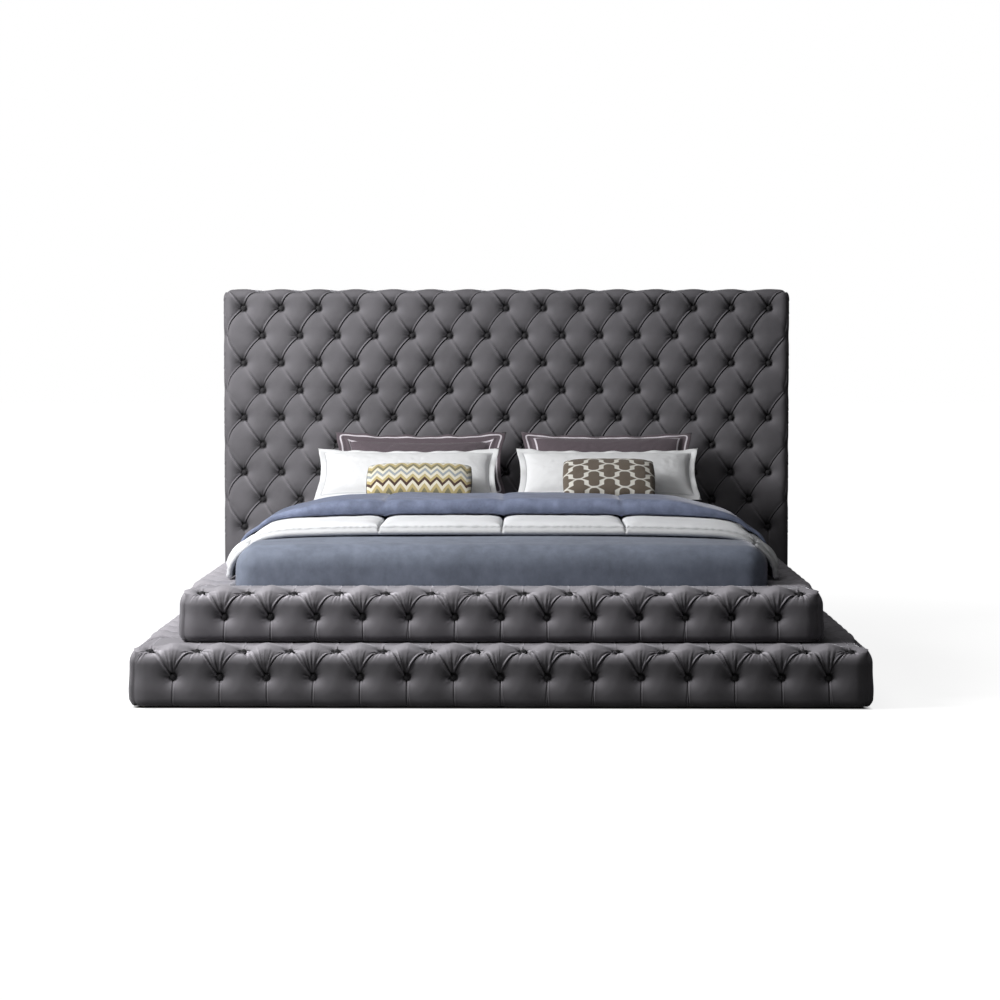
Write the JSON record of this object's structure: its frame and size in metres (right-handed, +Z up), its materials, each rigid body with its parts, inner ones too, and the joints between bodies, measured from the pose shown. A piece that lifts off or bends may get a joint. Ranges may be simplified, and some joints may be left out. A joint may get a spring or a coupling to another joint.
{
  "type": "upholstered headboard bed",
  "caption": "Wide velvet bed with a tall deep-tufted headboard and a two-step tufted base, dressed with mattress, coverlet, comforter, folded blanket and pillows.",
  "frame": {"origin": "on the floor, under the middle of the bed's footprint", "axes": "+X across the bed, +Y towards the headboard, +Z up"},
  "size_m": [2.64, 2.53, 1.545],
  "materials": {
    "grey_velvet": "matte",
    "foam": "matte",
    "dust_cloth": "matte",
    "plywood": "matte",
    "pine": "matte",
    "slat_birch": "satin",
    "bracket_steel": "satin",
    "screw_steel": "satin",
    "glide_plastic": "matte",
    "ticking": "matte",
    "blue_velvet": "matte",
    "blue_blanket": "matte",
    "white_cotton": "matte",
    "striped_sateen": "satin",
    "pillow_cotton": "matte",
    "chevron_weave": "matte",
    "lattice_weave": "matte"
  },
  "bodies": {
    "base": {"beam_hanger_foot": "bracket_steel", "beam_hanger_head": "bracket_steel", "bracket_screws": "screw_steel", "centre_beam": "pine", "centre_feet": "glide_plastic", "centre_legs": "pine", "corner_brackets": "bracket_steel", "floor_glides": "glide_plastic", "foot_lower_buttons": "grey_velvet", "foot_lower_cover": "grey_velvet", "foot_lower_foam": "foam", "foot_lower_frame": "pine", "foot_upper_buttons": "grey_velvet", "foot_upper_cover": "grey_velvet", "foot_upper_foam": "foam", "foot_upper_frame": "pine", "headboard_back_cloth": "dust_cloth", "headboard_bolts": "screw_steel", "headboard_bottom_rail": "pine", "headboard_buttons": "grey_velvet", "headboard_cover": "grey_velvet", "headboard_foam": "foam", "headboard_middle_rail": "pine", "headboard_panel": "plywood", "headboard_post_left": "pine", "headboard_post_right": "pine", "headboard_stiles": "pine", "headboard_top_rail": "pine", "ledger_left": "pine", "ledger_right": "pine", "left_lower_buttons": "grey_velvet", "left_lower_cover": "grey_velvet", "left_lower_foam": "foam", "left_lower_frame": "pine", "left_upper_buttons": "grey_velvet", "left_upper_cover": "grey_velvet", "left_upper_foam": "foam", "left_upper_frame": "pine", "right_lower_buttons": "grey_velvet", "right_lower_cover": "grey_velvet", "right_lower_foam": "foam", "right_lower_frame": "pine", "right_upper_buttons": "grey_velvet", "right_upper_cover": "grey_velvet", "right_upper_foam": "foam", "right_upper_frame": "pine", "slats_left": "slat_birch", "slats_right": "slat_birch"},
    "bedding": {"mattress": "ticking", "coverlet": "blue_velvet", "comforter": "white_cotton", "folded_blanket": "blue_blanket"},
    "sham_left": {"sham_left": "striped_sateen"},
    "sham_right": {"sham_right": "striped_sateen"},
    "pillow_left": {"pillow_left": "pillow_cotton"},
    "pillow_right": {"pillow_right": "pillow_cotton"},
    "lumbar_left": {"lumbar_left": "chevron_weave"},
    "lumbar_right": {"lumbar_right": "lattice_weave"}
  },
  "joints": [
    {"name": "bedding_lift", "type": "slide", "parent": "base", "child": "bedding", "axis": [0, 0, 1], "range_m": [0, 0.35]},
    {"name": "sham_left_lift", "type": "slide", "parent": "bedding", "child": "sham_left", "axis": [0, 0, 1], "range_m": [0, 0.3]},
    {"name": "pillow_left_lift", "type": "slide", "parent": "sham_left", "child": "pillow_left", "axis": [0, 0, 1], "range_m": [0, 0.3]},
    {"name": "lumbar_left_lift", "type": "slide", "parent": "pillow_left", "child": "lumbar_left", "axis": [0, 0, 1], "range_m": [0, 0.3]},
    {"name": "sham_right_lift", "type": "slide", "parent": "bedding", "child": "sham_right", "axis": [0, 0, 1], "range_m": [0, 0.3]},
    {"name": "pillow_right_lift", "type": "slide", "parent": "sham_right", "child": "pillow_right", "axis": [0, 0, 1], "range_m": [0, 0.3]},
    {"name": "lumbar_right_lift", "type": "slide", "parent": "pillow_right", "child": "lumbar_right", "axis": [0, 0, 1], "range_m": [0, 0.3]}
  ]
}
